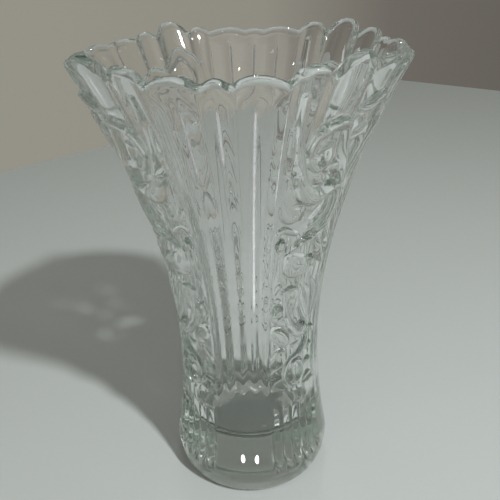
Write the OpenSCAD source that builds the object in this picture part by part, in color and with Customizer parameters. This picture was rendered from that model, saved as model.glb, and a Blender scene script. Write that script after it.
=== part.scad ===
// Pressed glass vase with a bell-shaped mouth, fluted panels and acanthus scroll panels.
// The axis is Z, the table is at zero, and the middle of a fluted panel faces -Y.
// Every quarter turn holds a fluted panel, then a scroll panel over foot prisms. The first scroll
// panel runs one way round and the other three the other way, and the rim differs all round.

/* [Outline] */
// Height of the lowest points of the rim above the table
rim_z = 243; // [225:1:265]
// Diameter of the mouth outside, at the lowest points of the rim
rim_d = 159.4; // [146:0.2:174]
// Diameter of the waist outside
waist_d = 80.4; // [76:0.2:88]
// Height of the waist above the table
waist_z = 82; // [76:1:90]
// Diameter of the foot at its widest
foot_d = 93.8; // [90:0.2:104]
// Height of the rounded edge under the foot
foot_edge_h = 14.6; // [12:0.2:17]
// How far the rounded edge draws in at the table
foot_edge_in = 5.4; // [3:0.2:7]

/* [Wall] */
// Thickness of the lip
lip_t = 5.6; // [5:0.1:7]
// Thickness of the wall at the floor of the well
well_wall = 8.4; // [7:0.1:10]
// Height of the inner floor above the table
floor_z = 32; // [29:0.5:36]
// Radius of the corner between the inner floor and the wall
floor_corner = 11; // [6:0.5:14]
// Height of the shallow hollow under the foot
hollow_h = 1.2; // [0.8:0.1:1.8]
// Width of the ring that the foot stands on
stand_ring_w = 8; // [6:0.5:10]
// Thickness of the layer of glass that carries the pattern
skin_t = 2; // [1.8:0.1:2.4]

/* [Panels] */
// Height at which the pattern starts
skin_z = 12; // [10:0.5:14]
// Height over which the flutes and the foot prisms come up from there
pattern_run = 14; // [10:0.5:14.5]
// Height of the border between the foot prisms and the scroll panels
prism_top_z = 66; // [60:1:72]
// Height of the plane between the lower and the upper bowl
bell_z = 120; // [110:1:140]
// Height of the band of the rim, below its lowest points
rim_band_h = 17; // [13:1:28]
// Width of a fluted panel, as an angle round the axis
fluted_angle = 40.6; // [36:0.2:46]
// Depth of the flutes
flute_depth = 0.85; // [0.5:0.05:1.2]
// Height at which the flutes reach that depth
flute_full_z = 92; // [84:1:105]
// Depth to which the ground of the scroll panels is sunk
scroll_sink = 0.8; // [0.4:0.1:1]
// Height of the scroll relief over its sunk ground
scroll_h = 3.2; // [2:0.1:3.4]
// Depth of the grooves between the foot prisms
prism_h = 1.5; // [0.8:0.1:1.6]
// Length over which the foot prisms run out at the top
prism_run = 28; // [16:0.5:28]
// Number of prisms under each scroll panel
prism_count = 6; // [5:1:7]

/* [Rim] */
// Rise of the two wide arches of the rim over the first fluted panel
wide_arch_h = 3.8; // [2:0.1:5]
// Rise of the small arch between them
middle_arch_h = 3; // [2:0.1:5]
// Rise of the tallest leaf of the rim
leaf_h = 10; // [7:0.1:11]
// How far the leaves of the rim swell over the ground
leaf_swell = 2; // [1:0.1:3]
// Depth of the grooves between the leaves
leaf_groove = 1.4; // [0.8:0.1:1.6]
// Height below the rim at which those grooves have run out
leaf_run = 38; // [30:1:45]

/* [Hidden] */

glass_colour = [0.76, 0.84, 0.80, 0.75];
quarter = 90;
scroll_angle = quarter - fluted_angle;
rim_r = rim_d / 2;
waist_r = waist_d / 2;
foot_r = foot_d / 2;
stand_r = foot_r - foot_edge_in;
hollow_r = stand_r - stand_ring_w;
rim_band_z = rim_z - rim_band_h;
full_z = skin_z + pattern_run;

// Powers of the two curves of the outline, above the waist and below it
bell_power = 2.05;
foot_power = 1.7;

// Numbers of facets
turn_facets = 96;
edge_steps = 6;
corner_steps = 8;
lip_steps = 4;
rim_rows = 4;
foot_rows = 3;
lower_rows = 3;
upper_rows = 6;
flute_columns = 5;
scroll_columns = 30;
scroll_rows = 54;
// One facet of a scroll panel's back spans this many facets of its face, across and up
across_span = 3;
up_span = 6;

// Outline of the ground of the pattern

function edge_r(z) =
    foot_r - foot_edge_in * (1 - sqrt(max(0, 1 - pow((foot_edge_h - z) / foot_edge_h, 2))));
function below_waist_r(z) =
    waist_r + (foot_r - waist_r) * pow((waist_z - z) / (waist_z - foot_edge_h), foot_power);
function above_waist_r(z) =
    waist_r + (rim_r - waist_r) * pow((z - waist_z) / (rim_z - waist_z), bell_power);
function ground_r(z) =
    z < foot_edge_h ? edge_r(z) : z < waist_z ? below_waist_r(z) : above_waist_r(z);
function core_r(z) = ground_r(z) - skin_t;
function wall(z) = well_wall + (lip_t - well_wall) * (z - floor_z) / (rim_z - floor_z);
function well_r(z) = ground_r(z) - wall(z);

// Small functions

function along(a, b, share) = a + (b - a) * share;
function steps(a, b, count) = [for (i = [1:count]) along(a, b, i / count)];
function smooth(share) = let (s = min(1, max(0, share))) s * s * (3 - 2 * s);
function at(a, r, z) = [r * sin(a), -r * cos(a), z];
function flat(lists) = [for (list = lists) for (item = list) item];

// Heights that the core and the backs of the panels share
prism_zs = concat([skin_z, full_z, floor_z], steps(floor_z, prism_top_z, foot_rows));
scroll_zs = concat([prism_top_z], steps(prism_top_z, bell_z, lower_rows),
                   steps(bell_z, rim_band_z, upper_rows));
panel_zs = concat(prism_zs, [for (i = [1:len(scroll_zs) - 1]) scroll_zs[i]]);

// Flutes: shares of half a fluted panel's width at which their ridges stand, from the middle.
// They are shallow over the foot and deepen to the waist.
ridge_shares = [0, 0.53, 1];
shallow_share = 0.3;

function flute_cut(a, z) =
    let (share = min(1, abs(a) / (fluted_angle / 2)),
         i = share < ridge_shares[1] ? 0 : 1,
         t = (share - ridge_shares[i]) / (ridge_shares[i + 1] - ridge_shares[i]),
         low_z = floor_z + floor_corner,
         deep = along(shallow_share, 1, smooth((z - low_z) / (flute_full_z - low_z))))
    flute_depth * deep * smooth((z - skin_z) / pattern_run) * 4 * t * (1 - t);

// Leaves of the rim, panel by panel: shares of the panel's width at which they meet, and their
// rises as shares of the tallest
leaf_edge_shares = [[0, 0.27, 0.555, 0.81, 1], [0, 0.115, 0.407, 0.727, 1],
                    [0, 0.184, 0.484, 0.698, 1], [0, 0.186, 0.439, 0.723, 1]];
leaf_rise_shares = [[0.66, 1, 0.65, 0.4], [0.22, 0.46, 0.74, 0.48],
                    [0.3, 0.65, 0.3, 0.15], [0.3, 0.5, 0.98, 0.65]];
// Width over which the leaves come up from the borders, swell of the lowest leaf, and how square
// their crowns are
leaf_border_share = 0.085;
low_leaf_share = 0.35;
leaf_power = 2.6;

function leaf_index(u, k) =
    let (edges = leaf_edge_shares[k - 1])
    u < edges[1] ? 0 : u < edges[2] ? 1 : u < edges[3] ? 2 : 3;
function leaf_crown(u, k) =
    let (edges = leaf_edge_shares[k - 1],
         i = leaf_index(u, k),
         t = (u - edges[i]) / (edges[i + 1] - edges[i]))
    1 - pow(min(1, abs(2 * t - 1)), leaf_power);
function leaf_share(u, k) = leaf_rise_shares[k - 1][leaf_index(u, k)];
function leaf_bulge(u, z, k) =
    smooth((z - rim_z + leaf_run) / leaf_run) * smooth(min(u, 1 - u) / leaf_border_share)
    * ((leaf_swell + leaf_groove) * leaf_crown(u, k) * along(low_leaf_share, 1, leaf_share(u, k))
    - leaf_groove);
function leaf_rise(u, k) = leaf_h * leaf_share(u, k) * leaf_crown(u, k);

// Arches of the rim over each fluted panel: rises as shares of those over the first, the share of
// half the panel's width that the small arch takes, and how the wide ones lean towards it
wide_arch_shares = [1, 0.68, 0.5, 0.42];
middle_arch_shares = [1, 0.6, 0.37, 0.33];
middle_arch_share = 0.212;
arch_power = 0.8;

// Rise of the rim over its lowest points, at an angle from the middle of a fluted panel
function fluted_rise(a, k) =
    let (share = min(1, abs(a) / (fluted_angle / 2)),
         t = max(0, (share - middle_arch_share) / (1 - middle_arch_share)))
    share < middle_arch_share
    ? middle_arch_h * middle_arch_shares[k - 1] * sin(90 + 90 * share / middle_arch_share)
    : wide_arch_h * wide_arch_shares[k - 1] * sin(180 * pow(t, arch_power));

// Scroll relief: each stroke is [share of scroll_h, points]. A point is [share of the panel's
// width, share of its height, half width as a share of the panel's width], both places from the
// lower left corner. A stroke is a rounded stem, or a leaf lobe where it swells and narrows, and
// narrow ones stand lower: the slope gives their height for their half width.
stroke_steps = 3;
stroke_width_share = 1.2;
stroke_slope = 0.9;
// Strokes that meet melt into each other; a higher power makes the crease between them sharper
melt_power = 5;
strokes_shares = [
    // Upper stem, which comes down from the rim, swells, turns and runs out to the right
    [1, [[0.085, 1.07, 0.02], [0.10, 0.97, 0.028], [0.14, 0.90, 0.04], [0.20, 0.825, 0.06],
         [0.30, 0.775, 0.08], [0.42, 0.765, 0.085], [0.54, 0.78, 0.065], [0.64, 0.79, 0.045]]],
    [0.8, [[0.64, 0.79, 0.045], [0.74, 0.765, 0.04], [0.85, 0.73, 0.032], [0.96, 0.69, 0.02]]],
    [0.6, [[0.045, 0.99, 0.02], [0.06, 0.94, 0.035], [0.10, 0.87, 0.02]]],
    // Leaf and volute inside its bend
    [0.95, [[0.47, 0.985, 0.03], [0.53, 0.915, 0.05], [0.60, 0.85, 0.055], [0.66, 0.80, 0.045]]],
    [0.85, [[0.49, 0.975, 0.04], [0.37, 0.985, 0.045], [0.25, 0.95, 0.045], [0.235, 0.89, 0.04],
            [0.33, 0.855, 0.035], [0.42, 0.88, 0.03], [0.39, 0.925, 0.025], [0.33, 0.91, 0.02]]],
    [0.75, [[0.37, 0.87, 0.03], [0.46, 0.86, 0.05], [0.56, 0.845, 0.045]]],
    [0.55, [[0.24, 0.85, 0.03], [0.32, 0.83, 0.055], [0.42, 0.815, 0.04]]],
    // Large leaf beside it
    [0.8, [[0.50, 0.985, 0.03], [0.60, 1.01, 0.035], [0.70, 1.035, 0.04], [0.80, 1.01, 0.045],
           [0.845, 0.95, 0.045], [0.80, 0.88, 0.04], [0.76, 0.81, 0.03]]],
    [0.65, [[0.60, 0.93, 0.03], [0.69, 0.945, 0.05], [0.74, 0.90, 0.045], [0.72, 0.84, 0.03]]],
    [0.5, [[0.90, 1, 0.02], [0.93, 0.93, 0.04], [0.91, 0.86, 0.04], [0.87, 0.79, 0.02]]],
    // Middle stem, which swings back to the left, and its fork
    [1, [[0.64, 0.79, 0.045], [0.70, 0.74, 0.06], [0.68, 0.68, 0.065], [0.59, 0.64, 0.06],
         [0.45, 0.62, 0.055], [0.33, 0.605, 0.045], [0.24, 0.585, 0.03]]],
    [0.6, [[0.60, 0.745, 0.025], [0.58, 0.70, 0.035], [0.50, 0.675, 0.035], [0.42, 0.66, 0.02]]],
    [0.5, [[0.05, 0.78, 0.02], [0.08, 0.73, 0.04], [0.16, 0.70, 0.04], [0.24, 0.70, 0.02]]],
    // Smooth leaf under it, and the lobes at its right
    [0.8, [[0.22, 0.57, 0.05], [0.27, 0.54, 0.11], [0.34, 0.52, 0.14], [0.44, 0.505, 0.09],
           [0.52, 0.495, 0.04]]],
    [0.85, [[0.57, 0.60, 0.03], [0.66, 0.565, 0.05], [0.76, 0.52, 0.05], [0.88, 0.49, 0.02]]],
    [0.75, [[0.72, 0.63, 0.03], [0.80, 0.585, 0.055], [0.88, 0.54, 0.05], [0.96, 0.515, 0.02]]],
    [0.6, [[0.80, 0.69, 0.02], [0.88, 0.65, 0.045], [0.95, 0.60, 0.03]]],
    // Small arch beside the left border, with three points that hang from it
    [0.7, [[0.035, 0.60, 0.02], [0.05, 0.65, 0.03], [0.12, 0.668, 0.035], [0.21, 0.655, 0.03],
           [0.28, 0.645, 0.02]]],
    [0.65, [[0.055, 0.63, 0.02], [0.055, 0.56, 0.036], [0.05, 0.49, 0.015]]],
    [0.65, [[0.125, 0.63, 0.02], [0.13, 0.55, 0.036], [0.14, 0.48, 0.015]]],
    [0.65, [[0.195, 0.63, 0.02], [0.195, 0.58, 0.03], [0.19, 0.53, 0.015]]],
    // Lower stem, with the bar and volute at its top
    [0.8, [[0.20, 0.43, 0.025], [0.30, 0.437, 0.035], [0.40, 0.432, 0.025]]],
    [0.8, [[0.40, 0.432, 0.025], [0.455, 0.40, 0.03], [0.43, 0.355, 0.03], [0.35, 0.34, 0.025],
           [0.30, 0.365, 0.022], [0.345, 0.395, 0.018]]],
    [1, [[0.235, 0.43, 0.025], [0.255, 0.37, 0.035], [0.30, 0.32, 0.05], [0.38, 0.28, 0.065],
         [0.50, 0.245, 0.065], [0.62, 0.235, 0.05], [0.72, 0.25, 0.035]]],
    // Feathered leaf inside its bend
    [0.9, [[0.48, 0.43, 0.025], [0.52, 0.37, 0.055], [0.59, 0.32, 0.065], [0.68, 0.285, 0.05],
           [0.74, 0.255, 0.03]]],
    [0.75, [[0.54, 0.435, 0.02], [0.62, 0.40, 0.05], [0.66, 0.35, 0.045], [0.70, 0.30, 0.03]]],
    [0.7, [[0.68, 0.44, 0.025], [0.76, 0.40, 0.055], [0.78, 0.345, 0.05], [0.76, 0.29, 0.03]]],
    [0.65, [[0.84, 0.43, 0.02], [0.90, 0.385, 0.05], [0.88, 0.33, 0.045], [0.82, 0.285, 0.03]]],
    // Lobes down the left side
    [0.8, [[0.045, 0.41, 0.02], [0.05, 0.355, 0.035], [0.12, 0.325, 0.045], [0.22, 0.33, 0.035]]],
    [0.6, [[0.09, 0.385, 0.03], [0.15, 0.375, 0.035], [0.21, 0.39, 0.02]]],
    [0.6, [[0.06, 0.285, 0.04], [0.14, 0.27, 0.10], [0.24, 0.24, 0.10], [0.32, 0.215, 0.04]]],
    [0.8, [[0.05, 0.15, 0.025], [0.12, 0.18, 0.04], [0.20, 0.195, 0.04], [0.29, 0.185, 0.025]]],
    [0.7, [[0.06, 0.105, 0.02], [0.13, 0.125, 0.045], [0.22, 0.13, 0.03]]],
    [0.65, [[0.05, 0.045, 0.025], [0.10, 0.07, 0.055], [0.20, 0.075, 0.045]]],
    // Last turn of the stem, and the oval leaf that it ends in
    [0.95, [[0.72, 0.245, 0.035], [0.72, 0.20, 0.05], [0.63, 0.165, 0.055], [0.51, 0.15, 0.045],
            [0.41, 0.145, 0.03]]],
    [0.9, [[0.41, 0.145, 0.03], [0.32, 0.115, 0.04], [0.29, 0.075, 0.04], [0.36, 0.04, 0.04],
           [0.49, 0.03, 0.04], [0.61, 0.055, 0.04], [0.63, 0.10, 0.04], [0.54, 0.125, 0.035],
           [0.45, 0.12, 0.025]]],
    [0.5, [[0.40, 0.20, 0.02], [0.46, 0.195, 0.035], [0.55, 0.205, 0.02]]],
    [0.7, [[0.78, 0.235, 0.025], [0.86, 0.225, 0.05], [0.95, 0.20, 0.02]]],
    [0.7, [[0.72, 0.15, 0.025], [0.80, 0.16, 0.055], [0.92, 0.145, 0.02]]],
    [0.7, [[0.70, 0.085, 0.025], [0.79, 0.095, 0.055], [0.91, 0.08, 0.02]]],
    [0.6, [[0.70, 0.025, 0.02], [0.80, 0.035, 0.045], [0.92, 0.025, 0.02]]]
];

// A smooth curve through the hand-chosen points of a stroke
function spline(p0, p1, p2, p3, t) =
    (2 * p1 + (p2 - p0) * t + (2 * p0 - 5 * p1 + 4 * p2 - p3) * t * t
    + (3 * p1 - p0 - 3 * p2 + p3) * t * t * t) / 2;
function curve(points) =
    let (last = len(points) - 1)
    concat([for (i = [0:last - 1]) for (k = [0:stroke_steps - 1])
        spline(points[max(0, i - 1)], points[i], points[i + 1], points[min(last, i + 2)],
               k / stroke_steps)],
        [points[last]]);
curves = [for (s = strokes_shares) curve(s[1])];
// Lowest and highest share of the panel's height that each stroke reaches
reach_shares = [for (c = curves)
    let (v = [for (p = c) p[1]], w = max([for (p = c) p[2]]))
    [min(v) - w / 2 * stroke_width_share, max(v) + w / 2 * stroke_width_share]];

// Relief of one stretch of a stroke at the point p: a rounded back over the half width
function stretch_h(p, a, b) =
    let (ab = [b[0] - a[0], b[1] - a[1]],
         ap = [p[0] - a[0], p[1] - a[1]],
         t = min(1, max(0, ap * ab / (ab * ab))),
         half = along(a[2], b[2], t) * stroke_width_share,
         d = norm(ap - ab * t) / half)
    d < 1 ? (1 - d * d) * min(scroll_h, half * stroke_slope) : 0;
function stroke_h(c, p, scale_by) =
    max([for (k = [0:len(c) - 2])
        stretch_h(p, [c[k][0] * scale_by[0], c[k][1] * scale_by[1], c[k][2] * scale_by[0]],
            [c[k + 1][0] * scale_by[0], c[k + 1][1] * scale_by[1], c[k + 1][2] * scale_by[0]])]);
function total(list, i = 0) = i < len(list) ? list[i] + total(list, i + 1) : 0;
// Height of the relief over its sunk ground, at share u of the panel's width and height z
function relief(u, z) =
    let (scale_by = [scroll_angle * PI / 180 * ground_r(z), rim_band_z - prism_top_z],
         v = (z - prism_top_z) / scale_by[1],
         p = [u * scale_by[0], z - prism_top_z],
         hs = [for (i = [0:len(curves) - 1])
             if (v > reach_shares[i][0] && v < reach_shares[i][1])
             pow(strokes_shares[i][0] * stroke_h(curves[i], p, scale_by), melt_power)])
    pow(total(hs), 1 / melt_power);
// The ground sinks between the relief, and comes up to the ridges at both borders
border_share = 0.067;
function sunk(u) = scroll_sink * smooth(min(u, 1 - u) / border_share);

// Foot prisms: grooves cut between sharp crests, which run out at both ends
function prism_cut(u, z) =
    let (t = u * prism_count - floor(u * prism_count),
         groove = 1 - abs(2 * t - 1),
         run = smooth((z - skin_z) / pattern_run) * smooth((prism_top_z - z) / prism_run))
    prism_h * groove * run;

// Radius of the outside at an angle from the middle of a fluted panel
function fluted_r(a, z) = ground_r(z) - flute_cut(a, z);
function scroll_h_at(u, z, k) =
    let (h = relief(k == 1 ? u : 1 - u, z), sink = sunk(u))
    h * sink / scroll_sink - sink + leaf_bulge(u, z, k);
function scroll_r(u, z, k) = ground_r(z) + scroll_h_at(u, z, k);

// Closed solid between a face grid and a back grid that keeps every span-th point of it.
// Both grids are lists of rows from below, each row running from left to right.
// Each cell is cut along the diagonal whose ends differ least in height over the ground.
function grid_faces(start, rows, columns, outward, heights) =
    [for (j = [0:rows - 1]) for (i = [0:columns - 1])
        let (a = start + j * (columns + 1) + i,
             b = a + 1,
             c = a + columns + 1,
             d = c + 1,
             rising = len(heights) == 0 ? false
                : abs(heights[j][i] - heights[j + 1][i + 1])
                < abs(heights[j][i + 1] - heights[j + 1][i]),
             cell = rising ? [[a, d, b], [a, c, d]] : [[a, c, b], [b, c, d]])
        each [for (f = cell) outward ? f : [f[2], f[1], f[0]]]];
// Wall between a fine edge and a coarse edge, as lists of point numbers
function edge_faces(fine, coarse, span, flip) =
    let (half = floor(span / 2))
    [for (k = [0:len(coarse) - 2])
        let (fan = concat(
            [for (j = [0:span - 1])
                [fine[k * span + j], fine[k * span + j + 1], coarse[j < half ? k : k + 1]]],
            [[coarse[k], fine[k * span + half], coarse[k + 1]]]))
        each [for (f = fan) flip ? [f[2], f[1], f[0]] : f]];

module slab(face, back, span_x, span_z, heights = []) {
    rows = len(face) - 1;
    columns = len(face[0]) - 1;
    back_rows = len(back) - 1;
    back_columns = len(back[0]) - 1;
    start = (rows + 1) * (columns + 1);
    left = [for (j = [0:rows]) j * (columns + 1)];
    right = [for (j = [0:rows]) j * (columns + 1) + columns];
    top = [for (i = [0:columns]) rows * (columns + 1) + i];
    bottom = [for (i = [0:columns]) i];
    back_left = [for (j = [0:back_rows]) start + j * (back_columns + 1)];
    back_right = [for (j = [0:back_rows]) start + j * (back_columns + 1) + back_columns];
    back_top = [for (i = [0:back_columns]) start + back_rows * (back_columns + 1) + i];
    back_bottom = [for (i = [0:back_columns]) start + i];
    polyhedron(
        points = concat(flat(face), flat(back)),
        faces = concat(
            grid_faces(0, rows, columns, true, heights),
            grid_faces(start, back_rows, back_columns, false, []),
            edge_faces(left, back_left, span_z, true),
            edge_faces(right, back_right, span_z, false),
            edge_faces(top, back_top, span_x, true),
            edge_faces(bottom, back_bottom, span_x, false)));
}

// Fluted panel

fluted_angles = [for (side = [-1, 1])
    each side < 0
    ? [for (i = [len(ridge_shares) - 1:-1:1]) for (k = [0:flute_columns - 1])
        -along(ridge_shares[i], ridge_shares[i - 1], k / flute_columns) * fluted_angle / 2]
    : [for (i = [0:len(ridge_shares) - 2]) for (k = [0:flute_columns - 1])
        along(ridge_shares[i], ridge_shares[i + 1], k / flute_columns) * fluted_angle / 2]];
all_fluted_angles = concat(fluted_angles, [fluted_angle / 2]);

module fluted_panel(k) {
    turn = quarter * (k - 1);
    color(glass_colour)
    slab([for (z = panel_zs) [for (a = all_fluted_angles) at(a + turn, fluted_r(a, z), z)]],
         [for (z = panel_zs) [for (a = all_fluted_angles) at(a + turn, core_r(z), z)]],
         1, 1);
}

// Scroll panel

function scroll_at(u, turn) = turn + fluted_angle / 2 + scroll_angle * u;

module scroll_panel(k) {
    turn = quarter * (k - 1);
    columns = scroll_columns / across_span;
    zs = [for (j = [0:scroll_rows]) along(prism_top_z, rim_band_z, j / scroll_rows)];
    us = [for (i = [0:scroll_columns]) i / scroll_columns];
    heights = [for (z = zs) [for (u = us) scroll_h_at(u, z, k)]];
    color(glass_colour)
    slab([for (j = [0:scroll_rows]) [for (i = [0:scroll_columns])
            at(scroll_at(us[i], turn), ground_r(zs[j]) + heights[j][i], zs[j])]],
         [for (z = scroll_zs) [for (i = [0:columns])
            at(scroll_at(i / columns, turn), core_r(z), z)]],
         across_span, up_span, heights);
}

// Prisms of the foot

module foot_prisms(k) {
    turn = quarter * (k - 1);
    columns = prism_count * 2;
    color(glass_colour)
    slab([for (z = prism_zs) [for (i = [0:columns])
            at(scroll_at(i / columns, turn), ground_r(z) - prism_cut(i / columns, z), z)]],
         [for (z = prism_zs) [for (i = [0:columns])
            at(scroll_at(i / columns, turn), core_r(z), z)]], 1, 1);
}

// Rim: one turn of columns, each running up the outside, over the lip and down the inside

// The inside follows the leaves and flutes of the outside by this share
lip_follow_share = 0.35;
leaf_columns = 5;

function leaf_us(k) =
    let (edges = leaf_edge_shares[k - 1])
    [for (i = [0:len(edges) - 2]) for (j = [0:leaf_columns - 1])
        along(edges[i], edges[i + 1], j / leaf_columns)];

function rim_column(a, r_at, rise) =
    let (edge_z = rim_z + rise - lip_t / 2,
         outer = r_at(edge_z),
         inner = along(ground_r(edge_z), outer, lip_follow_share) - lip_t,
         half = (outer - inner) / 2)
    concat(
        [for (j = [0:rim_rows - 1])
            let (z = along(rim_band_z, edge_z, j / rim_rows)) at(a, r_at(z), z)],
        [for (j = [0:lip_steps]) let (t = 180 * j / lip_steps)
            at(a, outer - half + half * cos(t), edge_z + lip_t / 2 * sin(t))],
        [for (j = [1:rim_rows / 2]) let (s = j / (rim_rows / 2))
            at(a, along(inner, well_r(rim_band_z), s), along(edge_z, rim_band_z, s))]);

module rim() {
    columns = [for (k = [1:4]) let (turn = quarter * (k - 1)) each concat(
        [for (a = fluted_angles)
            rim_column(a + turn, function(z) fluted_r(a, z), fluted_rise(a, k))],
        [for (u = leaf_us(k))
            rim_column(scroll_at(u, turn), function(z) scroll_r(u, z, k), leaf_rise(u, k))])];
    n = len(columns);
    m = len(columns[0]);
    color(glass_colour)
    polyhedron(
        points = flat(columns),
        faces = [for (i = [0:n - 1]) for (j = [0:m - 1])
            let (a = i * m + j,
                 b = i * m + (j + 1) % m,
                 c = ((i + 1) % n) * m + j,
                 d = ((i + 1) % n) * m + (j + 1) % m)
            each [[a, b, c], [b, d, c]]]);
}

// Bowl: the smooth core of the wall, with the well inside

module lower_bowl() {
    zs = [for (z = panel_zs) if (z >= floor_z && z <= bell_z) z];
    corner_z = floor_z + floor_corner;
    corner_r = well_r(corner_z) - floor_corner;
    well_zs = [for (z = zs) if (z > corner_z + floor_corner / corner_steps) z];
    color(glass_colour)
    rotate_extrude($fn = turn_facets)
    polygon(concat(
        [for (z = zs) [core_r(z), z]],
        [for (i = [len(well_zs) - 1:-1:0]) [well_r(well_zs[i]), well_zs[i]]],
        [for (i = [0:corner_steps]) let (t = 90 * i / corner_steps)
            [corner_r + floor_corner * cos(t), corner_z - floor_corner * sin(t)]]));
}

module upper_bowl() {
    zs = [for (z = panel_zs) if (z >= bell_z) z];
    color(glass_colour)
    rotate_extrude($fn = turn_facets)
    polygon(concat(
        [for (z = zs) [core_r(z), z]],
        [for (i = [len(zs) - 1:-1:0]) [well_r(zs[i]), zs[i]]]));
}

// Foot: solid glass up to the inner floor, with a rounded edge and a shallow hollow underneath

module foot() {
    edge_zs = [for (i = [0:edge_steps]) skin_z * pow(i / edge_steps, 2)];
    color(glass_colour)
    rotate_extrude($fn = turn_facets)
    polygon(concat(
        [[0, hollow_h], [hollow_r - hollow_h, hollow_h], [hollow_r, 0]],
        [for (z = edge_zs) [edge_r(z), z]],
        [for (z = prism_zs) if (z <= floor_z) [core_r(z), z]],
        [[0, floor_z]]));
}

foot();
lower_bowl();
upper_bowl();
rim();
fluted_panel(1);  // fluted_panel_1
fluted_panel(2);  // fluted_panel_2
fluted_panel(3);  // fluted_panel_3
fluted_panel(4);  // fluted_panel_4
scroll_panel(1);  // scroll_panel_1
scroll_panel(2);  // scroll_panel_2
scroll_panel(3);  // scroll_panel_3
scroll_panel(4);  // scroll_panel_4
foot_prisms(1);  // foot_prisms_1
foot_prisms(2);  // foot_prisms_2
foot_prisms(3);  // foot_prisms_3
foot_prisms(4);  // foot_prisms_4
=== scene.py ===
import math

import bpy
import numpy as np
from mathutils import Matrix, Vector


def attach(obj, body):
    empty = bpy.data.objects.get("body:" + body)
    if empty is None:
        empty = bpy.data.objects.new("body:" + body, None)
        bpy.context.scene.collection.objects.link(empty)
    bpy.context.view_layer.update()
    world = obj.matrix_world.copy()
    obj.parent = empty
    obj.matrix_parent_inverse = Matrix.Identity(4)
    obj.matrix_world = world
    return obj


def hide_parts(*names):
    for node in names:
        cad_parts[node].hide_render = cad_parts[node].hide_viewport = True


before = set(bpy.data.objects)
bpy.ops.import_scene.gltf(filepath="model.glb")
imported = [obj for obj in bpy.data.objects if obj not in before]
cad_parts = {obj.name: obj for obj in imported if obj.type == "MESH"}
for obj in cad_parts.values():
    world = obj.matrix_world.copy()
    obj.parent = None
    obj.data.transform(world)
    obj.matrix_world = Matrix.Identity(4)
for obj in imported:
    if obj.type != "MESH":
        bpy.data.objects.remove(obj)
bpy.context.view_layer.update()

# The camera. It stands a little to the right of the middle of the front fluted panel and
# looks down on the vase. Its place in metres, its angles in degrees and its lens were solved
# together with the outline.
camera_turn = 6.86
camera_distance = 0.2862
camera_height = 0.2867
camera_pitch = 27.41
camera_roll = -1.745
camera_yaw = 0.421
camera_lens = 42.23

lens = bpy.data.cameras.new("camera")
lens.sensor_width = 36
lens.lens = camera_lens
lens.clip_start = 0.01
lens.clip_end = 30
camera = bpy.data.objects.new("camera", lens)
bpy.context.scene.collection.objects.link(camera)
camera.location = (camera_distance * math.sin(math.radians(camera_turn)),
                   -camera_distance * math.cos(math.radians(camera_turn)), camera_height)
camera.rotation_mode = "XYZ"
camera.matrix_world = (Matrix.Translation(camera.location)
                       @ Matrix.Rotation(math.radians(camera_turn - camera_yaw), 4, "Z")
                       @ Matrix.Rotation(math.radians(90 - camera_pitch), 4, "X")
                       @ Matrix.Rotation(math.radians(camera_roll), 4, "Z"))
bpy.context.scene.camera = camera

# The plain body: the rounded edge of the foot, the concave foot, the waist and the bell. The
# whole vase is one piece of soda-lime glass, pressed in a four-part mould by a plunger that
# leaves the inside smooth, and then fire polished. Sizes are in millimetres.
rim_height = 243
mouth_radius = 79.7
bell_power = 2.05
waist_radius = 40.2
waist_height = 82
foot_power = 1.7
foot_radius = 46.9
foot_edge_height = 14.6
foot_edge_draw = 5.4
lip_thickness = 5.6
floor_wall = 8.4
floor_height = 32
floor_corner = 11
hollow_depth = 1.2
stand_ring = 8


def ground_radius(z):
    """Radius of the plain outline under the pattern, at the heights z."""
    z = np.asarray(z, float)
    above = np.clip((z - waist_height) / (rim_height - waist_height), 0, None) ** bell_power
    below = np.clip((waist_height - z) / (waist_height - foot_edge_height), 0, 1) ** foot_power
    drop = np.clip((foot_edge_height - z) / foot_edge_height, 0, 1)
    return (waist_radius + (mouth_radius - waist_radius) * above
            + (foot_radius - waist_radius) * below
            - foot_edge_draw * (1 - np.sqrt(1 - drop ** 2)))


def well_radius(z):
    """Radius of the smooth inside, at the heights z."""
    share = (np.asarray(z, float) - floor_height) / (rim_height - floor_height)
    return ground_radius(z) - floor_wall - (lip_thickness - floor_wall) * share


# Fluted panels. Each plain panel has four shallow flutes that meet in ridges, rounded by the
# fire polish. They run from the foot, where they are faint, up to the lip, which rises in one
# small arch between two wide ones.
fluted_half = 20.3
ridge_places = np.array([0, 0.53, 1])
ridge_round = 0.13
flute_depth = 0.85
flute_columns = 22
flutes_start = 14
flutes_open = 10
faint_share = 0.08
faint_end = 64
flutes_full = 92
flutes_close = 8
middle_arch_place = 0.215
wide_arch_lean = 0.8
wide_arch_power = 0.85
arch_rises = [(3.0, 3.8), (1.8, 2.6), (1.1, 1.9), (1.0, 1.6)]

# Columns of the mesh across a fluted panel, as shares of its half: closer together at the
# ridges, with one at the crease between the arches.
step = np.linspace(0, 1, flute_columns, endpoint=False)
step = (step + (1 - np.cos(np.pi * step)) / 2) / 2
half = np.concatenate([ridge_places[i] + step * (ridge_places[i + 1] - ridge_places[i])
                       for i in range(2)])
half[np.argmin(np.abs(half - middle_arch_place))] = middle_arch_place
fluted_share = np.concatenate([-np.append(half, 1)[:0:-1], half])


def smooth_step(x):
    """Eased step from 0 to 1."""
    x = np.clip(x, 0, 1)
    return x * x * (3 - 2 * x)


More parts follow.
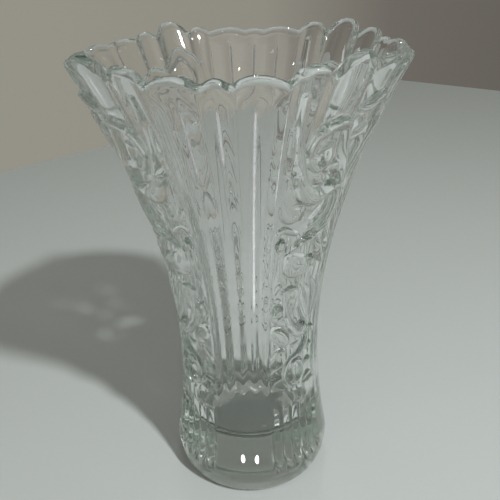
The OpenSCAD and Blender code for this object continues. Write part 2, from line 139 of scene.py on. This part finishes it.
def flute_cut(share, z):
    """Depth of the flutes at shares of the half panel, from -1 to 1, and heights z."""
    share = np.abs(share)
    i = np.clip(np.searchsorted(ridge_places, share, side="right") - 1, 0, 1)
    t = (share - ridge_places[i]) / (ridge_places[i + 1] - ridge_places[i])
    t = np.minimum(t, 1 - t)
    t = np.sqrt(t * t + ridge_round ** 2) - ridge_round
    deepen = smooth_step((z - faint_end) / (flutes_full - faint_end))
    fade = faint_share + (1 - faint_share) * deepen
    fade = fade * smooth_step((z - flutes_start) / flutes_open)
    fade = fade * smooth_step((rim_height - 1 - z) / flutes_close)
    return flute_depth * 4 * t * (1 - t) * fade


def fluted_rise(share, rises):
    """Rise of the rim over a fluted panel: the middle arch and the wide arches beside it."""
    share = np.abs(share)
    middle = rises[0] * np.cos(np.pi / 2 * share / middle_arch_place)
    t = np.clip((share - middle_arch_place) / (1 - middle_arch_place), 0, 1)
    wide = np.clip(np.sin(np.pi * t ** wide_arch_lean), 0, None) ** wide_arch_power
    return np.where(share < middle_arch_place, middle, rises[1] * wide)


# Scroll panels. Acanthus scrolls stand in relief on a slightly sunk ground between two
# borders. They are cut into the mould, so their edges come out of the press soft and round.
scroll_low = 66
scroll_high = 226
scroll_turn = 90 - 2 * fluted_half
scroll_columns = 150
scroll_relief = 3.2
scroll_sink = 0.8
scroll_open = 4
border_width = 0.067
hollow_cut = 1.5
stroke_width = 1.2
stroke_power = 0.6
stroke_steps = 5
melt_power = 8

# Each stroke is its height as a share of the relief, then points along its middle: place
# across the panel, place up the panel, and half width, as shares of the panel's width.
scroll_strokes = [
    # Upper stem, which comes down from the rim, swells, turns and runs out to the right
    (1, [[0.085, 1.07, 0.02], [0.10, 0.97, 0.028], [0.14, 0.90, 0.04], [0.20, 0.825, 0.06],
         [0.30, 0.775, 0.08], [0.42, 0.765, 0.085], [0.54, 0.78, 0.065], [0.64, 0.79, 0.045]]),
    (0.8, [[0.64, 0.79, 0.045], [0.74, 0.765, 0.04], [0.85, 0.73, 0.032], [0.96, 0.69, 0.02]]),
    (0.6, [[0.045, 0.99, 0.02], [0.06, 0.94, 0.035], [0.10, 0.87, 0.02]]),
    # Leaf and volute inside its bend
    (0.95, [[0.47, 0.985, 0.03], [0.53, 0.915, 0.05], [0.60, 0.85, 0.055], [0.66, 0.80, 0.045]]),
    (0.85, [[0.49, 0.975, 0.04], [0.37, 0.985, 0.045], [0.25, 0.95, 0.045], [0.235, 0.89, 0.04],
            [0.33, 0.855, 0.035], [0.42, 0.88, 0.03], [0.39, 0.925, 0.025], [0.33, 0.91, 0.02]]),
    (0.75, [[0.37, 0.87, 0.03], [0.46, 0.86, 0.05], [0.56, 0.845, 0.045]]),
    (0.55, [[0.24, 0.85, 0.03], [0.32, 0.83, 0.055], [0.42, 0.815, 0.04]]),
    # Large leaf beside it
    (0.8, [[0.50, 0.985, 0.03], [0.60, 1.01, 0.035], [0.70, 1.035, 0.04], [0.80, 1.01, 0.045],
           [0.845, 0.95, 0.045], [0.80, 0.88, 0.04], [0.76, 0.81, 0.03]]),
    (0.65, [[0.60, 0.93, 0.03], [0.69, 0.945, 0.05], [0.74, 0.90, 0.045], [0.72, 0.84, 0.03]]),
    (0.5, [[0.90, 1, 0.02], [0.93, 0.93, 0.04], [0.91, 0.86, 0.04], [0.87, 0.79, 0.02]]),
    # Middle stem, which swings back to the left, and its fork
    (1, [[0.64, 0.79, 0.045], [0.70, 0.74, 0.06], [0.68, 0.68, 0.065], [0.59, 0.64, 0.06],
         [0.45, 0.62, 0.055], [0.33, 0.605, 0.045], [0.24, 0.585, 0.03]]),
    (0.6, [[0.60, 0.745, 0.025], [0.58, 0.70, 0.035], [0.50, 0.675, 0.035], [0.42, 0.66, 0.02]]),
    (0.5, [[0.05, 0.78, 0.02], [0.08, 0.73, 0.04], [0.16, 0.70, 0.04], [0.24, 0.70, 0.02]]),
    # Smooth leaf under it, and the lobes at its right
    (0.8, [[0.22, 0.57, 0.05], [0.27, 0.54, 0.11], [0.34, 0.52, 0.14], [0.44, 0.505, 0.09],
           [0.52, 0.495, 0.04]]),
    (0.85, [[0.57, 0.60, 0.03], [0.66, 0.565, 0.05], [0.76, 0.52, 0.05], [0.88, 0.49, 0.02]]),
    (0.75, [[0.72, 0.63, 0.03], [0.80, 0.585, 0.055], [0.88, 0.54, 0.05], [0.96, 0.515, 0.02]]),
    (0.6, [[0.80, 0.69, 0.02], [0.88, 0.65, 0.045], [0.95, 0.60, 0.03]]),
    # Small arch beside the left border, with three points that hang from it
    (0.7, [[0.035, 0.60, 0.02], [0.05, 0.65, 0.03], [0.12, 0.668, 0.035], [0.21, 0.655, 0.03],
           [0.28, 0.645, 0.02]]),
    (0.65, [[0.055, 0.63, 0.02], [0.055, 0.56, 0.036], [0.05, 0.49, 0.015]]),
    (0.65, [[0.125, 0.63, 0.02], [0.13, 0.55, 0.036], [0.14, 0.48, 0.015]]),
    (0.65, [[0.195, 0.63, 0.02], [0.195, 0.58, 0.03], [0.19, 0.53, 0.015]]),
    # Lower stem, with the bar and volute at its top
    (0.8, [[0.20, 0.43, 0.025], [0.30, 0.437, 0.035], [0.40, 0.432, 0.025]]),
    (0.8, [[0.40, 0.432, 0.025], [0.455, 0.40, 0.03], [0.43, 0.355, 0.03], [0.35, 0.34, 0.025],
           [0.30, 0.365, 0.022], [0.345, 0.395, 0.018]]),
    (1, [[0.235, 0.43, 0.025], [0.255, 0.37, 0.035], [0.30, 0.32, 0.05], [0.38, 0.28, 0.065],
         [0.50, 0.245, 0.065], [0.62, 0.235, 0.05], [0.72, 0.25, 0.035]]),
    # Feathered leaf inside its bend
    (0.9, [[0.48, 0.43, 0.025], [0.52, 0.37, 0.055], [0.59, 0.32, 0.065], [0.68, 0.285, 0.05],
           [0.74, 0.255, 0.03]]),
    (0.75, [[0.54, 0.435, 0.02], [0.62, 0.40, 0.05], [0.66, 0.35, 0.045], [0.70, 0.30, 0.03]]),
    (0.7, [[0.68, 0.44, 0.025], [0.76, 0.40, 0.055], [0.78, 0.345, 0.05], [0.76, 0.29, 0.03]]),
    (0.65, [[0.84, 0.43, 0.02], [0.90, 0.385, 0.05], [0.88, 0.33, 0.045], [0.82, 0.285, 0.03]]),
    # Lobes down the left side
    (0.8, [[0.045, 0.41, 0.02], [0.05, 0.355, 0.035], [0.12, 0.325, 0.045], [0.22, 0.33, 0.035]]),
    (0.6, [[0.09, 0.385, 0.03], [0.15, 0.375, 0.035], [0.21, 0.39, 0.02]]),
    (0.6, [[0.06, 0.285, 0.04], [0.14, 0.27, 0.10], [0.24, 0.24, 0.10], [0.32, 0.215, 0.04]]),
    (0.8, [[0.05, 0.15, 0.025], [0.12, 0.18, 0.04], [0.20, 0.195, 0.04], [0.29, 0.185, 0.025]]),
    (0.7, [[0.06, 0.105, 0.02], [0.13, 0.125, 0.045], [0.22, 0.13, 0.03]]),
    (0.65, [[0.05, 0.045, 0.025], [0.10, 0.07, 0.055], [0.20, 0.075, 0.045]]),
    # Last turn of the stem, and the oval leaf that it ends in
    (0.95, [[0.72, 0.245, 0.035], [0.72, 0.20, 0.05], [0.63, 0.165, 0.055], [0.51, 0.15, 0.045],
            [0.41, 0.145, 0.03]]),
    (0.9, [[0.41, 0.145, 0.03], [0.32, 0.115, 0.04], [0.29, 0.075, 0.04], [0.36, 0.04, 0.04],
           [0.49, 0.03, 0.04], [0.61, 0.055, 0.04], [0.63, 0.10, 0.04], [0.54, 0.125, 0.035],
           [0.45, 0.12, 0.025]]),
    (0.5, [[0.40, 0.20, 0.02], [0.46, 0.195, 0.035], [0.55, 0.205, 0.02]]),
    (0.7, [[0.78, 0.235, 0.025], [0.86, 0.225, 0.05], [0.95, 0.20, 0.02]]),
    (0.7, [[0.72, 0.15, 0.025], [0.80, 0.16, 0.055], [0.92, 0.145, 0.02]]),
    (0.7, [[0.70, 0.085, 0.025], [0.79, 0.095, 0.055], [0.91, 0.08, 0.02]]),
    (0.6, [[0.70, 0.025, 0.02], [0.80, 0.035, 0.045], [0.92, 0.025, 0.02]]),
    # Round beads at the ends of the scrolls
    (1.1, [[0.131, 0.365, 0.075], [0.131, 0.355, 0.075]]),
    (1.1, [[0.573, 0.268, 0.075], [0.573, 0.258, 0.075]]),
    (1, [[0.545, 0.53, 0.06], [0.545, 0.52, 0.06]]),
    (1, [[0.09, 0.62, 0.055], [0.09, 0.61, 0.055]])
]

# Hollows between the strokes, written the same way.
scroll_hollows = [
    (1, [[0.05, 0.90, 0.02], [0.09, 0.87, 0.045], [0.15, 0.845, 0.03]]),
    (0.8, [[0.26, 0.90, 0.03], [0.34, 0.90, 0.04]]),
    (1.2, [[0.42, 0.83, 0.03], [0.49, 0.822, 0.055], [0.57, 0.805, 0.03]]),
    (1.2, [[0.20, 0.745, 0.02], [0.245, 0.742, 0.03], [0.29, 0.745, 0.02]]),
    (0.8, [[0.36, 0.715, 0.02], [0.42, 0.70, 0.04], [0.50, 0.72, 0.02]]),
    (1, [[0.64, 0.57, 0.02], [0.66, 0.54, 0.045], [0.68, 0.50, 0.025]]),
    (1, [[0.80, 0.60, 0.03], [0.83, 0.56, 0.07], [0.86, 0.52, 0.03]]),
    (1.2, [[0.18, 0.197, 0.02], [0.25, 0.196, 0.03], [0.30, 0.20, 0.02]]),
    (0.9, [[0.40, 0.095, 0.02], [0.45, 0.097, 0.03], [0.50, 0.10, 0.02]]),
    (1, [[0.33, 0.02, 0.02], [0.45, 0.005, 0.04], [0.58, 0.02, 0.02]])
]


def smooth_line(points):
    """Catmull-Rom curve through the given points."""
    p = np.array(points, float)
    p = np.vstack([p[0], p, p[-1]])
    t = np.linspace(0, 1, stroke_steps, endpoint=False)[:, None]
    pieces = []
    for i in range(len(p) - 3):
        a, b, c, d = p[i:i + 4]
        pieces.append((2 * b + (c - a) * t + (2 * a - 5 * b + 4 * c - d) * t ** 2
                       + (3 * b - a - 3 * c + d) * t ** 3) / 2)
    return np.vstack(pieces + [p[-2:-1]])


def stroke_height(line, across, up, width):
    """Rounded back of one stroke: 1 along its middle and 0 at its edges and beyond. A stroke
    narrower than the relief stays lower."""
    height = np.zeros(across.shape)
    rise = scroll_high - scroll_low
    reach = line[:, 2].max() * width.max()
    rows = np.where((up.max(1) > line[:, 1].min() * rise - reach)
                    & (up.min(1) < line[:, 1].max() * rise + reach))[0]
    part = slice(rows[0], rows[-1] + 1)
    x, y, w = across[part] * width[part], up[part], width[part]
    best = np.zeros(x.shape)
    for (u0, v0, r0), (u1, v1, r1) in zip(line[:-1], line[1:]):
        ax, ay, bx, by = u0 * w, v0 * rise, (u1 - u0) * w, (v1 - v0) * rise
        t = np.clip(((x - ax) * bx + (y - ay) * by) / (bx * bx + by * by), 0, 1)
        half = (r0 + (r1 - r0) * t) * w * stroke_width
        d2 = ((x - ax - t * bx) ** 2 + (y - ay - t * by) ** 2) / half ** 2
        back = np.clip(1 - d2, 0, 1) ** stroke_power
        best = np.maximum(best, back * np.minimum(half / scroll_relief, 1))
    height[part] = best
    return height


def scroll_height(across, z):
    """Relief of a scroll panel over the plain outline. Strokes melt together where they
    meet, and the relief ends at the borders."""
    up = z - scroll_low
    width = np.radians(scroll_turn) * ground_radius(z)
    height = np.zeros(z.shape)
    hollow = np.zeros(z.shape)
    for share, points in scroll_strokes:
        back = stroke_height(smooth_line(points), across, up, width)
        height += (share * back) ** melt_power
    height = height ** (1 / melt_power)
    for share, points in scroll_hollows:
        back = stroke_height(smooth_line(points), across, up, width)
        hollow = np.maximum(hollow, share * back)
    border = smooth_step(np.minimum(across, 1 - across) / border_width)
    return ((scroll_relief * height - scroll_sink - hollow_cut * hollow)
            * border * smooth_step(up / scroll_open))


# Foot prisms. Under each scroll panel, six prisms of the same glass run down the thick foot,
# cut into the mould as grooves. They start shallow under the scrolls, grow deeper and end in
# points above the rounded edge.
prism_count = 6
prism_depth = 2.3
prism_round = 0.05
prism_start = 14
prism_full = 24
prism_end = 62
prism_shallow = 0.3
prism_deepen = 22
prism_close = 8


def prism_cut(across, z):
    """Depth of the grooves between the prisms."""
    t = across * prism_count % 1
    t = np.minimum(t, 1 - t)
    groove = 2 * (np.sqrt(t * t + prism_round ** 2) - prism_round)
    run = prism_shallow + (1 - prism_shallow) * smooth_step((prism_end - z) / prism_deepen)
    run = run * smooth_step((z - prism_start) / (prism_full - prism_start))
    run = run * smooth_step((prism_end - z) / prism_close)
    return prism_depth * groove * run


# Leaves of the rim. Over each scroll panel the wall swells into four round leaves with deep
# grooves between them, and the lip follows their tips. The mould was cut by hand, so no two
# panels are quite the same.
leaf_edges = [(0, 0.27, 0.555, 0.81, 1), (0, 0.115, 0.407, 0.727, 1),
              (0, 0.184, 0.484, 0.698, 1), (0, 0.186, 0.439, 0.723, 1)]
leaf_rises = [(6.6, 10, 6.5, 4), (2.2, 4.6, 7.4, 4.8), (3, 6.5, 3, 1.5), (3, 5, 9.8, 6.5)]
leaf_power = 2.6
leaf_swell = 2
leaf_groove = 1.4
leaf_tall = 8
leaf_least = 0.2
leaf_border = 0.085
leaf_run = 38


def leaf_crown(across, panel):
    """Crown of the leaves, from 0 at the creases to 1, and the rise of each."""
    edges = np.round(np.array(leaf_edges[panel]) * scroll_columns) / scroll_columns
    i = np.clip(np.searchsorted(edges, across + 1e-9, side="right") - 1, 0, 3)
    t = np.clip((across - edges[i]) / (edges[i + 1] - edges[i]), 0, 1)
    crown = 1 - np.abs(2 * t - 1) ** leaf_power
    rise = crown * np.array(leaf_rises[panel])[i]
    for line in (rise, crown) * 2:
        line[1:-1] = (line[:-2] + 2 * line[1:-1] + line[2:]) / 4
    return crown, rise


def leaf_height(across, z, panel):
    """How far the leaves stand over the plain outline."""
    crown, rise = leaf_crown(across, panel)
    fullness = crown * np.minimum(rise / leaf_tall + leaf_least, 1)
    swell = (leaf_swell + leaf_groove) * fullness - leaf_groove
    swell = swell * smooth_step(np.minimum(across, 1 - across) / leaf_border)
    return smooth_step((z - rim_height + leaf_run) / leaf_run) * swell[:-1]


# The lip. It follows the arches and leaves all the way round as one rounded edge, and fire
# polish rounds the dips between them.
polish_steps = 2880
polish_reach = 14
polish_width = 5.0

across = np.linspace(0, 1, scroll_columns + 1)
angle = np.radians(np.concatenate([fluted_share * fluted_half,
                                   fluted_half + across[:-1] * scroll_turn]))
angle = np.concatenate([angle + k * np.pi / 2 for k in range(4)])
rise = np.concatenate([part for k in range(4)
                       for part in (fluted_rise(fluted_share, arch_rises[k]),
                                    leaf_crown(across, k)[1][:-1])])
fine = np.linspace(0, 2 * np.pi, polish_steps + 1)
wave = np.interp(fine, angle, rise, period=2 * np.pi)[:-1]
soft = np.exp(-np.arange(-polish_reach, polish_reach + 1) ** 2 / (2 * polish_width ** 2))
wave = np.concatenate([wave[-polish_reach:], wave, wave[:polish_reach]])
wave = np.convolve(wave, soft / soft.sum(), "valid")
rise = np.interp(angle, fine[:-1], wave, period=2 * np.pi)
edge = rim_height + rise - lip_thickness / 2

# The glass itself: one closed skin of soda-lime glass, as it left the mould. It runs from the
# middle of the underside, out over the standing ring, up the patterned outside, over the lip
# and down the smooth well.
edge_rows = 14
foot_rows = 70
scroll_rows = 300
band_rows = 30
lip_rows = 15
inner_band_rows = 16
well_rows = 60
corner_rows = 12
floor_rings = [0.75, 0.5, 0.25]
hollow_rings = [0.3, 0.6, 1]
lip_follow = 0.35
flutes_across = len(fluted_share)
panel_columns = flutes_across + scroll_columns
columns = len(angle)
level = np.ones(columns)


def outside_radius(z):
    """Radius of the outside for rows of heights z over all the columns."""
    parts = []
    for k in range(4):
        first = k * panel_columns
        zs = z[:, first:first + flutes_across]
        parts.append(ground_radius(zs) - flute_cut(np.broadcast_to(fluted_share, zs.shape), zs))
        zs = z[:, first + flutes_across:first + panel_columns]
        u = np.broadcast_to(across[:-1], zs.shape)
        low = -prism_cut(u, zs)
        high = scroll_height(u if k == 0 else 1 - u, zs) + leaf_height(across, zs, k)
        parts.append(ground_radius(zs) + np.where(zs < scroll_low, low, high))
    return np.hstack(parts)


turn = np.linspace(0, np.pi / 2, edge_rows)
edge_z = foot_edge_height * (1 - np.cos(turn))
foot_z = np.linspace(foot_edge_height, scroll_low, foot_rows)[1:]
scroll_z = np.linspace(scroll_low, scroll_high, scroll_rows)[1:]
rows_z = np.concatenate([edge_z, foot_z, scroll_z])[:, None] * level
band = np.linspace(0, 1, band_rows)[1:, None]
rows_z = np.vstack([rows_z, scroll_high + band * (edge - scroll_high)])
rows_r = outside_radius(rows_z)

lip = np.linspace(0, np.pi, lip_rows)[1:, None]
outer = rows_r[-1]
inner_top = lip_follow * outer + (1 - lip_follow) * ground_radius(edge) - lip_thickness
lip_half = (outer - inner_top) / 2
lip_r = outer - lip_half + lip_half * np.cos(lip)
lip_z = edge + lip_thickness / 2 * np.sin(lip)
down = np.linspace(0, 1, inner_band_rows)[1:, None]
band_z = edge + (scroll_high - edge) * down
band_r = inner_top + (well_radius(scroll_high) - inner_top) * down
corner_z = floor_height + floor_corner
well_z = np.linspace(scroll_high, corner_z, well_rows)[1:, None] * level
well_r = well_radius(well_z)
bend = np.linspace(0, np.pi / 2, corner_rows)[1:, None] * level
corner_r = well_radius(corner_z) - floor_corner
bend_z = corner_z - floor_corner * np.sin(bend)
bend_r = corner_r + floor_corner * np.cos(bend)
floor_r = corner_r * np.array(floor_rings)[:, None] * level
floor_z = np.full(floor_r.shape, float(floor_height))

hollow_radius = foot_radius - foot_edge_draw - stand_ring
under_r = np.array(hollow_rings) * (hollow_radius - hollow_depth)
under_r = np.append(under_r, hollow_radius)[:, None] * level
under_z = np.array([hollow_depth] * len(hollow_rings) + [0])[:, None] * level

all_z = np.vstack([under_z, rows_z, lip_z, band_z, well_z, bend_z, floor_z])
all_r = np.vstack([under_r, rows_r, lip_r, band_r, well_r, bend_r, floor_r])
points = np.stack([all_r * np.sin(angle), -all_r * np.cos(angle), all_z], -1).reshape(-1, 3)
points = np.vstack([points, [[0, 0, hollow_depth], [0, 0, floor_height]]]) / 1000
i = np.arange(columns)
after = (i + 1) % columns
j = np.arange(len(all_z) - 1)[:, None] * columns
quads = np.stack([j + i, j + after, j + after + columns, j + i + columns], -1)
last = (len(all_z) - 1) * columns
under_middle = last + columns
floor_middle = under_middle + 1
faces = quads.reshape(-1, 4).tolist()
faces += np.stack([after, i, np.full(columns, under_middle)], -1).tolist()
faces += np.stack([last + i, last + after, np.full(columns, floor_middle)], -1).tolist()

skin = bpy.data.meshes.new("vase_glass")
skin.from_pydata(points.tolist(), [], faces)
skin.validate()
skin.update()
skin.polygons.foreach_set("use_smooth", np.ones(len(skin.polygons), bool))
vase = bpy.data.objects.new("vase_glass", skin)
bpy.context.scene.collection.objects.link(vase)

# Painted highlights: the crests of the flutes carry thin lines of matt white, strongest on the
# upper wall, painted in place of the bright lines of light that run along them.
# Each crest is its place across the half panel, its strength and the height it starts at.
painted_crest_highlights = [(-1, 0.8, 196), (-0.53, 1.8, 199), (0, 2.6, 206), (0.53, 1.7, 122), (1, 1.6, 184)]
crest_width = 0.42
crest_start = 12
crest_top = 236
crest_end = 6

# Painted highlight: how strongly each point of the skin is painted with the matt white lines
# along the crests.
painted_ridge_highlight = np.zeros(all_z.shape)
for k in range(4):
    panel = slice(k * panel_columns, k * panel_columns + flutes_across)
    z, r = all_z[:, panel], all_r[:, panel]
    for spot, strength, lowest in painted_crest_highlights:
        apart = np.abs(fluted_share - spot) * math.radians(fluted_half) * r
        highlight_here = strength * np.exp(-(apart / crest_width) ** 2)
        highlight_here = highlight_here * smooth_step((z - lowest) / crest_start)
        painted_ridge_highlight[:, panel] = np.maximum(painted_ridge_highlight[:, panel], highlight_here)
painted_ridge_highlight *= smooth_step((crest_top - all_z) / crest_end)
painted_ridge_highlight[len(under_z) + len(rows_z):] = 0
highlight_layer = skin.attributes.new("painted_ridge_highlight", "FLOAT", "POINT")
highlight_layer.data.foreach_set("value", np.append(painted_ridge_highlight.ravel(), [0, 0]))


def linear(code):
    """Linear colour of an sRGB hex value."""
    parts = [int(code[k:k + 2], 16) / 255 for k in (1, 3, 5)]
    return [c / 12.92 if c <= 0.04045 else ((c + 0.055) / 1.055) ** 2.4 for c in parts] + [1]


def add_node(tree, kind, settings=None, inputs=None, links=None):
    """Adds a node with its settings, its own input values and its links."""
    node = tree.nodes.new(kind)
    for name, value in (settings or {}).items():
        setattr(node, name, value)
    for name, value in (inputs or {}).items():
        node.inputs[name].default_value = value
    for name, socket in (links or {}).items():
        tree.links.new(socket, node.inputs[name])
    return node


# Soda-lime glass, pressed and fire polished: clear and glossy, with a pale grey-green tint
# that shows only where it is thick, and a gloss that is a trace softer in wide patches. On the
# crests of the flutes, a matt white is painted in as highlights, broken up by small specks.
# Patches and specks are in millimetres.
haze_size = 28.57
speck_size = 3.846
glass_ior = 1.51

glass = bpy.data.materials.new("soda_lime_glass")
glass.use_nodes = True
tree = glass.node_tree
tree.nodes.clear()
place = add_node(tree, "ShaderNodeTexCoord")
haze = add_node(tree, "ShaderNodeTexNoise", None, {"Scale": 1000 / haze_size, "Detail": 3},
                {"Vector": place.outputs["Object"]})
roughness = add_node(tree, "ShaderNodeMapRange", None,
                     {"From Min": 0.45, "From Max": 0.75, "To Min": 0.0, "To Max": 0.015},
                     {"Value": haze.outputs["Fac"]})
surface = add_node(tree, "ShaderNodeBsdfPrincipled", None,
                   {"Base Color": linear("#ffffff"), "IOR": glass_ior,
                    "Transmission Weight": 1},
                   {"Roughness": roughness.outputs["Result"]})
# Painted highlight: an opaque matt white surface, mixed in on the crests where bright lines of
# light are painted.
highlight_paint = add_node(tree, "ShaderNodeBsdfPrincipled", None,
                {"Base Color": linear("#ffffff"), "Roughness": 0.35, "IOR": glass_ior})
crest = add_node(tree, "ShaderNodeAttribute", {"attribute_name": "painted_ridge_highlight"})
# The specks break the painted highlight lines into short pieces.
speck = add_node(tree, "ShaderNodeTexNoise", None, {"Scale": 1000 / speck_size, "Detail": 2},
                 {"Vector": place.outputs["Object"]})
patchy = add_node(tree, "ShaderNodeMapRange", None,
                  {"From Min": 0.4, "From Max": 0.62, "To Min": 0.6, "To Max": 1},
                  {"Value": speck.outputs["Fac"]})
amount = add_node(tree, "ShaderNodeMath", {"operation": "MULTIPLY", "use_clamp": True}, None,
                  {0: crest.outputs["Fac"], 1: patchy.outputs["Result"]})
blend = add_node(tree, "ShaderNodeMixShader", None, None,
                 {0: amount.outputs["Value"], 1: surface.outputs["BSDF"],
                  2: highlight_paint.outputs["BSDF"]})
tint = add_node(tree, "ShaderNodeVolumeAbsorption", None,
                {"Color": linear("#c9dcd1"), "Density": 6})
add_node(tree, "ShaderNodeOutputMaterial", None, None,
         {"Surface": blend.outputs["Shader"], "Volume": tint.outputs["Volume"]})
skin.materials.append(glass)

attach(vase, "root")
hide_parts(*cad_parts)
vase.cycles.is_caustics_caster = True

# The table: a wooden top, painted pale grey and lacquered to a half gloss that mirrors the
# foot softly. It ends at the back where two plain walls meet it, and in front behind the
# camera. Its face lies just under the standing ring, so that the two never coincide.
table_height = -0.0003
corners = [(-0.422, 0.497), (0.2, 1.16), (1.3, 0.48), (2.75, -0.42), (-1.2, -0.42)]
top = bpy.data.meshes.new("table_top")
top.from_pydata([(x, y, table_height) for x, y in corners], [], [list(range(len(corners)))[::-1]])
table = bpy.data.objects.new("table_top", top)
bpy.context.scene.collection.objects.link(table)
lacquer = bpy.data.materials.new("pale_lacquer")
lacquer.use_nodes = True
tree = lacquer.node_tree
tree.nodes.clear()
finish = add_node(tree, "ShaderNodeBsdfPrincipled", None,
                  {"Base Color": linear("#b6b9b6"), "Roughness": 0.13, "IOR": 1.5})
add_node(tree, "ShaderNodeOutputMaterial", None, None, {"Surface": finish.outputs["BSDF"]})
top.materials.append(lacquer)
table.cycles.is_caustics_receiver = True

# The lamps: one overhead at the right of the camera, which throws the soft shadow with the
# patches of light in it, and small ceiling lamps all round for the glints. The wide ones at
# the back glint through the wall, and the narrow ones in front glint on its face.
key_place = (1.035, -0.97, 1.67)
key_aim = (0.12, -0.14, 0)
key_size = 0.14
key_power = 7.0
key_spread = 75
wide = 0.16
narrow = 0.05
lamp_distance = 2.3
lamp_power = 0.3
ceiling_places = [(-0.30, 1.82, 2.0), (-0.04, 1.95, 2.1)]
ceiling_size = 0.09
ceiling_power = 2
small_lamps = [(-132, 48, wide), (-108, 30, wide), (120, 42, wide), (138, 70, wide),
               (98, 60, wide), (-160, 58, wide), (-140, 66, wide), (150, 60, wide),
               (176, 68, wide), (-84, 62, narrow), (-68, 28, narrow), (-50, 42, narrow),
               (-34, 60, narrow), (-14, 72, narrow), (8, 44, narrow), (24, 54, narrow),
               (44, 66, narrow), (58, 26, narrow), (76, 40, narrow)]


def lamp(name, place, size, power, colour="#ffffff", aim=(0, 0, 0)):
    """A round lamp with its size in metres and its power in watts, turned to its aim."""
    data = bpy.data.lights.new(name, "AREA")
    data.shape = "DISK"
    data.size = size
    data.energy = power
    data.color = linear(colour)[:3]
    light = bpy.data.objects.new(name, data)
    bpy.context.scene.collection.objects.link(light)
    light.location = place
    light.rotation_mode = "QUATERNION"
    light.rotation_quaternion = (Vector(aim) - Vector(place)).to_track_quat("-Z", "Y")
    return light


key = lamp("key_lamp", key_place, key_size, key_power, "#f8fdff", key_aim)
key.data.spread = math.radians(key_spread)
key.data.cycles.is_caustics_light = True
for i, (around, lift, size) in enumerate(small_lamps):
    around, lift = math.radians(around), math.radians(lift)
    way = (math.sin(around) * math.cos(lift), -math.cos(around) * math.cos(lift), math.sin(lift))
    lamp("small_lamp_%d" % (i + 1), [lamp_distance * c for c in way], size, lamp_power)
for i, spot in enumerate(ceiling_places):
    lamp("ceiling_lamp_%d" % (i + 1), spot, ceiling_size, ceiling_power)

# The room: two painted walls, pale at the left and darker at the right, under a grey ceiling.
# Behind the camera it is dark, with a bright ceiling high above, and the glass shows both as
# dark and light bands.
room = bpy.data.worlds.new("room")
bpy.context.scene.world = room
room.use_nodes = True
tree = room.node_tree
tree.nodes.clear()
way = add_node(tree, "ShaderNodeTexCoord")
split = add_node(tree, "ShaderNodeSeparateXYZ", None, None, {"Vector": way.outputs["Generated"]})
sideways = add_node(tree, "ShaderNodeMapRange", None, {"From Min": -1},
                    {"Value": split.outputs["X"]})
front = add_node(tree, "ShaderNodeMapRange", {"interpolation_type": "SMOOTHSTEP"},
                 {"From Min": -0.4, "From Max": -0.75}, {"Value": split.outputs["Y"]})
above = add_node(tree, "ShaderNodeMapRange", {"interpolation_type": "SMOOTHSTEP"},
                 {"From Min": -0.05, "From Max": 0.06}, {"Value": split.outputs["Z"]})

# Colours of the wall from left to right, and of the ceiling and its bright part upwards.
colours = []
for factor, stops in (
        (sideways.outputs["Result"],
         [(0.3, "#959287"), (0.46, "#8f8c82"), (0.56, "#6e6a63"), (0.68, "#625e58")]),
        (split.outputs["Z"], [(0.3, "#787a74"), (0.9, "#787a74"), (1, "#868781")]),
        (split.outputs["Z"], [(0.1, "#2b2a28"), (0.38, "#55544f"), (0.52, "#f6f5ee")])):
    ramp = add_node(tree, "ShaderNodeValToRGB", None, None, {"Fac": factor})
    parts = ramp.color_ramp.elements
    while len(parts) < len(stops):
        parts.new(0.5)
    for part, (spot, code) in zip(parts, stops):
        part.position = spot
        part.color = linear(code)
    colours.append(ramp.outputs["Color"])
wall, ceiling, lit_ceiling = colours

# A colour mix has its colours at sockets 6 and 7, and its result at output 2.
low = add_node(tree, "ShaderNodeMix", {"data_type": "RGBA"}, {7: linear("#2b2a28")},
               {"Factor": front.outputs["Result"], 6: wall})
high = add_node(tree, "ShaderNodeMix", {"data_type": "RGBA"}, None,
                {"Factor": front.outputs["Result"], 6: ceiling, 7: lit_ceiling})
whole = add_node(tree, "ShaderNodeMix", {"data_type": "RGBA"}, None,
                 {"Factor": above.outputs["Result"], 6: low.outputs[2], 7: high.outputs[2]})
back = add_node(tree, "ShaderNodeBackground", None, None, {"Color": whole.outputs[2]})
add_node(tree, "ShaderNodeOutputWorld", None, None, {"Surface": back.outputs["Background"]})

# Light goes through many faces of glass, so it may bounce often. The clamp keeps single
# glints in the glass from turning into white specks.
scene = bpy.context.scene
scene.view_settings.view_transform = "Standard"
scene.cycles.max_bounces = 64
scene.cycles.transmission_bounces = 64
scene.cycles.glossy_bounces = 64
scene.cycles.diffuse_bounces = 3
scene.cycles.sample_clamp_indirect = 4
